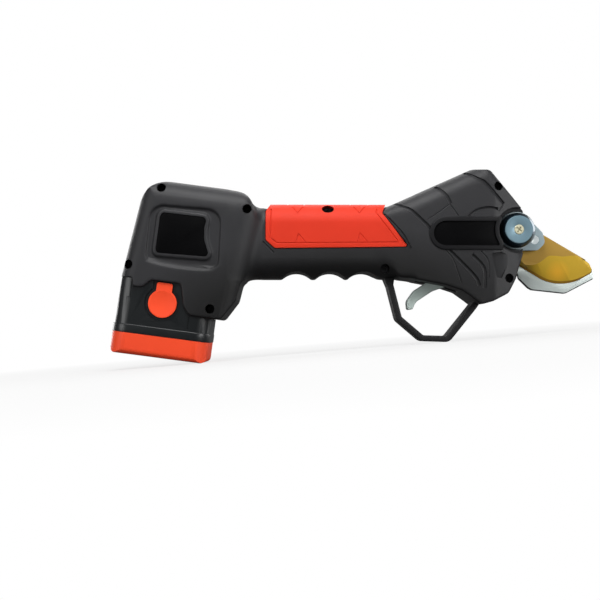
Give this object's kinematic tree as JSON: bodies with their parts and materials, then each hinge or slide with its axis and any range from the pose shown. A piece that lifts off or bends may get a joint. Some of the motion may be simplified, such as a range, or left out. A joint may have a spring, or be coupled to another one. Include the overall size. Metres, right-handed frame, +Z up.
{
  "type": "battery electric pruner",
  "caption": "Hand-held battery pruner with a gold cutting blade over a hooked counter blade, trigger in a guard, rubber grip and slide-out battery pack.",
  "frame": {"origin": "middle of the bounding box, on the floor the tool stands on", "axes": "+X towards the blades, +Y to the tool's left side, +Z up as it stands on its battery foot and trigger guard"},
  "size_m": [0.3182, 0.056, 0.1177],
  "materials": {
    "shell": "fine-grained charcoal plastic",
    "grip": "moulded rubber",
    "label": "bare black plate",
    "screw_black": "blackened steel",
    "guard": "fine-grained plastic",
    "trigger": "satin anodised",
    "pin_steel": "ground",
    "switch": "plain",
    "gold_blade": "gold coated, ground",
    "hook_steel": "satin ground",
    "carrier_steel": "satin",
    "cap_steel": "turned, anodised blue grey",
    "cap_screw": "pale plated",
    "gear_steel": "machined",
    "motor_case": "dark",
    "copper": "wound copper",
    "board": "solder mask",
    "battery": "semi-gloss",
    "orange": "satin",
    "cell": "sleeved",
    "contact": "plated",
    "spring": "drawn wire"
  },
  "bodies": {
    "casing": {"right_shell": "shell", "left_shell": "shell", "grip_right": "grip", "grip_left": "grip", "rear_labels": "label", "head_labels": "label", "housing_screws": "screw_black", "trigger_guard": "guard", "guard_screw": "screw_black", "trigger_pin": "pin_steel", "trigger_switch": "switch", "hook_blade": "hook_steel", "hook_screws": "screw_black", "pivot_bolt": "pin_steel", "pivot_cap": "cap_steel", "pivot_screw": "cap_screw", "pivot_nut": "pin_steel", "screw_bearing": "gear_steel", "gearbox_cover": "motor_case", "ring_gear": "gear_steel", "motor_can": "motor_case", "motor_stator": "copper", "motor_bearings": "gear_steel", "control_board": "board", "terminal_block": "switch"},
    "rotor": {"motor_rotor": "gear_steel", "sun_gear": "gear_steel"},
    "screw": {"ball_screw": "gear_steel", "planet_carrier": "gear_steel"},
    "planet_1": {"planet_gear_1": "gear_steel"},
    "planet_2": {"planet_gear_2": "gear_steel"},
    "planet_3": {"planet_gear_3": "gear_steel"},
    "nut": {"ball_nut": "gear_steel"},
    "blade": {"cutting_blade": "gold_blade", "blade_carrier": "carrier_steel", "drive_pin": "pin_steel"},
    "finger_trigger": {"trigger": "trigger", "trigger_spring": "spring"},
    "battery": {"battery_case": "battery", "battery_cap": "orange", "battery_cells": "cell", "battery_board": "board", "battery_terminals": "contact", "latch_spring_right": "spring", "latch_spring_left": "spring"},
    "latch_right": {"latch_button_right": "orange"},
    "latch_left": {"latch_button_left": "orange"}
  },
  "joints": [
    {"name": "nut_slide", "type": "slide", "parent": "casing", "child": "nut", "axis": [-0.9738, 0, -0.2276], "range_m": [0, 0.0173]},
    {"name": "rotor_spin", "type": "hinge", "parent": "casing", "child": "rotor", "pos_m": [0.10414, 0, 0.08161], "axis": [0.9738, 0, 0.2276], "range_deg": [0, 6228.01]},
    {"name": "screw_spin", "type": "hinge", "parent": "casing", "child": "screw", "pos_m": [0.10414, 0, 0.08161], "axis": [0.9738, 0, 0.2276], "range_deg": [0, 1245.61]},
    {"name": "planet_1_spin", "type": "hinge", "parent": "screw", "child": "planet_1", "pos_m": [0.0575, 0, 0.06147], "axis": [0.9738, 0, 0.2276], "range_deg": [-3321.61, 0]},
    {"name": "planet_2_spin", "type": "hinge", "parent": "screw", "child": "planet_2", "pos_m": [0.05442, 0.00779, 0.07462], "axis": [0.9738, 0, 0.2276], "range_deg": [-3321.61, 0]},
    {"name": "planet_3_spin", "type": "hinge", "parent": "screw", "child": "planet_3", "pos_m": [0.05442, -0.00779, 0.07462], "axis": [0.9738, 0, 0.2276], "range_deg": [-3321.61, 0]},
    {"name": "blade_swing", "type": "hinge", "parent": "casing", "child": "blade", "pos_m": [0.10732, 0, 0.06798], "axis": [0, -1, 0], "range_deg": [0, 42]},
    {"name": "trigger_pull", "type": "hinge", "parent": "casing", "child": "finger_trigger", "pos_m": [0.06193, 0, 0.04042], "axis": [0, 1, 0], "range_deg": [0, 12], "stiffness_Nm_per_rad": 0.1, "springref_deg": -17.19},
    {"name": "battery_slide", "type": "slide", "parent": "casing", "child": "battery", "axis": [-0.2138, 0, -0.9769], "range_m": [0, 0.07]},
    {"name": "latch_right_press", "type": "slide", "parent": "battery", "child": "latch_right", "axis": [0, 1, 0], "range_m": [0, 0.0022], "stiffness_N_per_m": 900, "springref_m": -0.001, "deforming": ["latch_spring_right"]},
    {"name": "latch_left_press", "type": "slide", "parent": "battery", "child": "latch_left", "axis": [0, -1, 0], "range_m": [0, 0.0022], "stiffness_N_per_m": 900, "springref_m": -0.001, "deforming": ["latch_spring_left"]}
  ],
  "couplings": [
    {"joint": "rotor_spin", "follows": "nut_slide", "rad_per_m": 6283.2},
    {"joint": "screw_spin", "follows": "nut_slide", "rad_per_m": 1256.6},
    {"joint": "planet_1_spin", "follows": "nut_slide", "rad_per_m": -3351},
    {"joint": "planet_2_spin", "follows": "nut_slide", "rad_per_m": -3351},
    {"joint": "planet_3_spin", "follows": "nut_slide", "rad_per_m": -3351},
    {"joint": "blade_swing", "follows": "nut_slide", "rad_per_m": 42.372}
  ]
}
